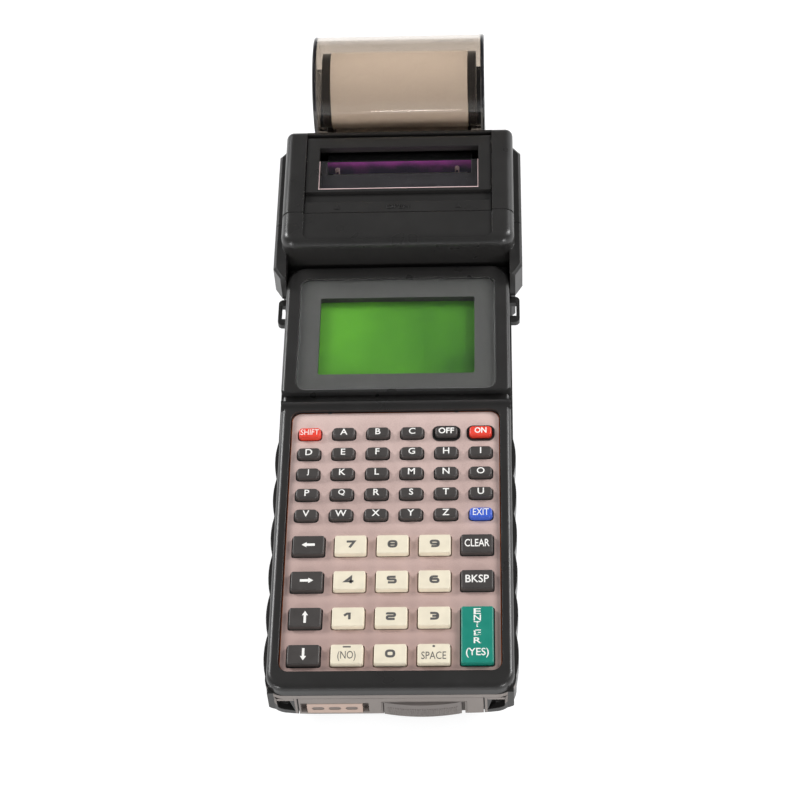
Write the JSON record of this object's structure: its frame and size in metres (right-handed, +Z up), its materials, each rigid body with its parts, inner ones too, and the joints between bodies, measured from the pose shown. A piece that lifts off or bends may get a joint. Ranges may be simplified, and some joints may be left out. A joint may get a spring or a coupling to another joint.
{
  "type": "portable barcode data terminal",
  "caption": "Hand-held data terminal with keypad, display, ribbon printer under a hinged door and a paper roll under a hinged smoke-coloured cover.",
  "frame": {"origin": "on the table, under the middle of the whole length and width", "axes": "+Y along the length from the battery end to the paper cover, +X to the right of the keys, +Z up out of the key tops"},
  "size_m": [0.102, 0.3127, 0.064],
  "materials": {
    "charcoal_case": "fine textured moulding with satin edges",
    "mauve_metal": "metallic mauve paint",
    "key_rubber": "moulded rubber mat",
    "clear_lens": "clear hard-coated lens",
    "display_glass": "liquid crystal panel, green",
    "circuit_board": "green circuit board",
    "grey_end": "textured grey moulding",
    "latch_plastic": "finely ribbed dark grey",
    "beige_plastic": "beige moulding",
    "contact_metal": "nickel-plated contact",
    "zinc_steel": "zinc-plated screw",
    "foot_rubber": "black rubber",
    "clear_pane": "clear moulded pane",
    "cassette_black": "black moulding",
    "ribbon_purple": "inked nylon ribbon, purple",
    "frame_steel": "pressed steel plate",
    "head_plastic": "moulded carriage",
    "ground_steel": "ground steel rod",
    "roller_rubber": "ground rubber roller",
    "gear_plastic": "natural acetal",
    "motor_steel": "drawn steel can",
    "paper": "plain paper",
    "core_black": "moulded core",
    "smoke_cover": "clear smoke-coloured moulding",
    "key_charcoal": "moulded key",
    "key_cream": "moulded key",
    "key_green": "moulded key",
    "key_blue": "moulded key",
    "key_red": "moulded key"
  },
  "bodies": {
    "case": {"upper_case": "charcoal_case", "lower_case": "charcoal_case", "keypad_plate": "mauve_metal", "key_mat": "key_rubber", "display_lens": "clear_lens", "lcd_panel": "display_glass", "main_board": "circuit_board", "strap_eyes": "charcoal_case", "case_screws": "zinc_steel", "rubber_feet": "foot_rubber", "printer_front_housing": "charcoal_case", "printer_rear_housing": "charcoal_case", "steel_rods": "ground_steel", "ribbon_cassette": "cassette_black", "ink_ribbon": "ribbon_purple", "print_frame": "frame_steel", "feed_motor": "motor_steel", "roll_cradle": "charcoal_case", "paper_web": "paper"},
    "cover": {"paper_cover": "smoke_cover"},
    "door": {"ribbon_door": "charcoal_case", "door_window": "clear_pane"},
    "battery": {"battery_pack": "grey_end", "contact_strip": "beige_plastic", "charge_contacts": "contact_metal"},
    "latch": {"battery_latch": "latch_plastic"},
    "carriage": {"print_head": "head_plastic"},
    "feed": {"feed_roller": "roller_rubber"},
    "idler": {"idler_gear": "gear_plastic"},
    "pinion": {"motor_pinion": "gear_plastic"},
    "roll": {"paper_roll": "paper", "roll_core": "core_black"},
    "button_left": {"key_left": "key_charcoal"},
    "button_7": {"key_7": "key_cream"},
    "button_8": {"key_8": "key_cream"},
    "button_9": {"key_9": "key_cream"},
    "button_clear": {"key_clear": "key_charcoal"},
    "button_right": {"key_right": "key_charcoal"},
    "button_4": {"key_4": "key_cream"},
    "button_5": {"key_5": "key_cream"},
    "button_6": {"key_6": "key_cream"},
    "button_bksp": {"key_bksp": "key_charcoal"},
    "button_up": {"key_up": "key_charcoal"},
    "button_1": {"key_1": "key_cream"},
    "button_2": {"key_2": "key_cream"},
    "button_3": {"key_3": "key_cream"},
    "button_enter": {"key_enter": "key_green"},
    "button_down": {"key_down": "key_charcoal"},
    "button_no": {"key_no": "key_cream"},
    "button_0": {"key_0": "key_cream"},
    "button_space": {"key_space": "key_cream"},
    "button_shift": {"key_shift": "key_red"},
    "button_off": {"key_off": "key_charcoal"},
    "button_on": {"key_on": "key_red"},
    "button_exit": {"key_exit": "key_blue"},
    "button_keys_a_to_c": {"keys_a_to_c": "key_charcoal"},
    "button_keys_d_to_i": {"keys_d_to_i": "key_charcoal"},
    "button_keys_j_to_o": {"keys_j_to_o": "key_charcoal"},
    "button_keys_p_to_u": {"keys_p_to_u": "key_charcoal"},
    "button_keys_v_to_z": {"keys_v_to_z": "key_charcoal"}
  },
  "joints": [
    {"name": "battery_slide", "type": "slide", "parent": "case", "child": "battery", "axis": [0, -1, 0], "range_m": [0, 0.078]},
    {"name": "carriage_slide", "type": "slide", "parent": "case", "child": "carriage", "axis": [1, 0, 0], "range_m": [0, 0.044]},
    {"name": "cover_hinge", "type": "hinge", "parent": "case", "child": "cover", "pos_m": [0, 0.15415, 0.033], "axis": [-1, 0, 0], "range_deg": [0, 100]},
    {"name": "door_hinge", "type": "hinge", "parent": "case", "child": "door", "pos_m": [0, 0.10055, 0.0385], "axis": [-1, 0, 0], "range_deg": [0, 75]},
    {"name": "feed_spin", "type": "hinge", "parent": "case", "child": "feed", "pos_m": [0, 0.09765, 0.0285], "axis": [1, 0, 0], "continuous": true},
    {"name": "feed_spin_idler", "type": "hinge", "parent": "case", "child": "idler", "pos_m": [0.041, 0.09765, 0.01888], "axis": [1, 0, 0], "continuous": true},
    {"name": "feed_spin_pinion", "type": "hinge", "parent": "case", "child": "pinion", "pos_m": [0.041, 0.0953, 0.01163], "axis": [1, 0, 0], "continuous": true},
    {"name": "latch_slide", "type": "slide", "parent": "battery", "child": "latch", "axis": [1, 0, 0], "range_m": [0, 0.001], "stiffness_N_per_m": 400},
    {"name": "paper_spin", "type": "hinge", "parent": "case", "child": "roll", "pos_m": [0, 0.12935, 0.041], "axis": [1, 0, 0], "continuous": true},
    {"name": "push_key_left", "type": "slide", "parent": "case", "child": "button_left", "axis": [0, 0, -1], "range_m": [0, 0.0011], "stiffness_N_per_m": 300},
    {"name": "push_key_7", "type": "slide", "parent": "case", "child": "button_7", "axis": [0, 0, -1], "range_m": [0, 0.0011], "stiffness_N_per_m": 300},
    {"name": "push_key_8", "type": "slide", "parent": "case", "child": "button_8", "axis": [0, 0, -1], "range_m": [0, 0.0011], "stiffness_N_per_m": 300},
    {"name": "push_key_9", "type": "slide", "parent": "case", "child": "button_9", "axis": [0, 0, -1], "range_m": [0, 0.0011], "stiffness_N_per_m": 300},
    {"name": "push_key_clear", "type": "slide", "parent": "case", "child": "button_clear", "axis": [0, 0, -1], "range_m": [0, 0.0011], "stiffness_N_per_m": 300},
    {"name": "push_key_right", "type": "slide", "parent": "case", "child": "button_right", "axis": [0, 0, -1], "range_m": [0, 0.0011], "stiffness_N_per_m": 300},
    {"name": "push_key_4", "type": "slide", "parent": "case", "child": "button_4", "axis": [0, 0, -1], "range_m": [0, 0.0011], "stiffness_N_per_m": 300},
    {"name": "push_key_5", "type": "slide", "parent": "case", "child": "button_5", "axis": [0, 0, -1], "range_m": [0, 0.0011], "stiffness_N_per_m": 300},
    {"name": "push_key_6", "type": "slide", "parent": "case", "child": "button_6", "axis": [0, 0, -1], "range_m": [0, 0.0011], "stiffness_N_per_m": 300},
    {"name": "push_key_bksp", "type": "slide", "parent": "case", "child": "button_bksp", "axis": [0, 0, -1], "range_m": [0, 0.0011], "stiffness_N_per_m": 300},
    {"name": "push_key_up", "type": "slide", "parent": "case", "child": "button_up", "axis": [0, 0, -1], "range_m": [0, 0.0011], "stiffness_N_per_m": 300},
    {"name": "push_key_1", "type": "slide", "parent": "case", "child": "button_1", "axis": [0, 0, -1], "range_m": [0, 0.0011], "stiffness_N_per_m": 300},
    {"name": "push_key_2", "type": "slide", "parent": "case", "child": "button_2", "axis": [0, 0, -1], "range_m": [0, 0.0011], "stiffness_N_per_m": 300},
    {"name": "push_key_3", "type": "slide", "parent": "case", "child": "button_3", "axis": [0, 0, -1], "range_m": [0, 0.0011], "stiffness_N_per_m": 300},
    {"name": "push_key_enter", "type": "slide", "parent": "case", "child": "button_enter", "axis": [0, 0, -1], "range_m": [0, 0.0011], "stiffness_N_per_m": 300},
    {"name": "push_key_down", "type": "slide", "parent": "case", "child": "button_down", "axis": [0, 0, -1], "range_m": [0, 0.0011], "stiffness_N_per_m": 300},
    {"name": "push_key_no", "type": "slide", "parent": "case", "child": "button_no", "axis": [0, 0, -1], "range_m": [0, 0.0011], "stiffness_N_per_m": 300},
    {"name": "push_key_0", "type": "slide", "parent": "case", "child": "button_0", "axis": [0, 0, -1], "range_m": [0, 0.0011], "stiffness_N_per_m": 300},
    {"name": "push_key_space", "type": "slide", "parent": "case", "child": "button_space", "axis": [0, 0, -1], "range_m": [0, 0.0011], "stiffness_N_per_m": 300},
    {"name": "push_key_shift", "type": "slide", "parent": "case", "child": "button_shift", "axis": [0, 0, -1], "range_m": [0, 0.0011], "stiffness_N_per_m": 300},
    {"name": "push_key_off", "type": "slide", "parent": "case", "child": "button_off", "axis": [0, 0, -1], "range_m": [0, 0.0011], "stiffness_N_per_m": 300},
    {"name": "push_key_on", "type": "slide", "parent": "case", "child": "button_on", "axis": [0, 0, -1], "range_m": [0, 0.0011], "stiffness_N_per_m": 300},
    {"name": "push_key_exit", "type": "slide", "parent": "case", "child": "button_exit", "axis": [0, 0, -1], "range_m": [0, 0.0011], "stiffness_N_per_m": 300},
    {"name": "push_key_row_a_to_c", "type": "slide", "parent": "case", "child": "button_keys_a_to_c", "axis": [0, 0, -1], "range_m": [0, 0.0011], "stiffness_N_per_m": 300},
    {"name": "push_key_row_d_to_i", "type": "slide", "parent": "case", "child": "button_keys_d_to_i", "axis": [0, 0, -1], "range_m": [0, 0.0011], "stiffness_N_per_m": 300},
    {"name": "push_key_row_j_to_o", "type": "slide", "parent": "case", "child": "button_keys_j_to_o", "axis": [0, 0, -1], "range_m": [0, 0.0011], "stiffness_N_per_m": 300},
    {"name": "push_key_row_p_to_u", "type": "slide", "parent": "case", "child": "button_keys_p_to_u", "axis": [0, 0, -1], "range_m": [0, 0.0011], "stiffness_N_per_m": 300},
    {"name": "push_key_row_v_to_z", "type": "slide", "parent": "case", "child": "button_keys_v_to_z", "axis": [0, 0, -1], "range_m": [0, 0.0011], "stiffness_N_per_m": 300}
  ],
  "couplings": [
    {"joint": "feed_spin_idler", "follows": "feed_spin", "ratio": -0.9},
    {"joint": "feed_spin_pinion", "follows": "feed_spin", "ratio": 1.8},
    {"joint": "paper_spin", "follows": "feed_spin", "ratio": 0.2778}
  ]
}
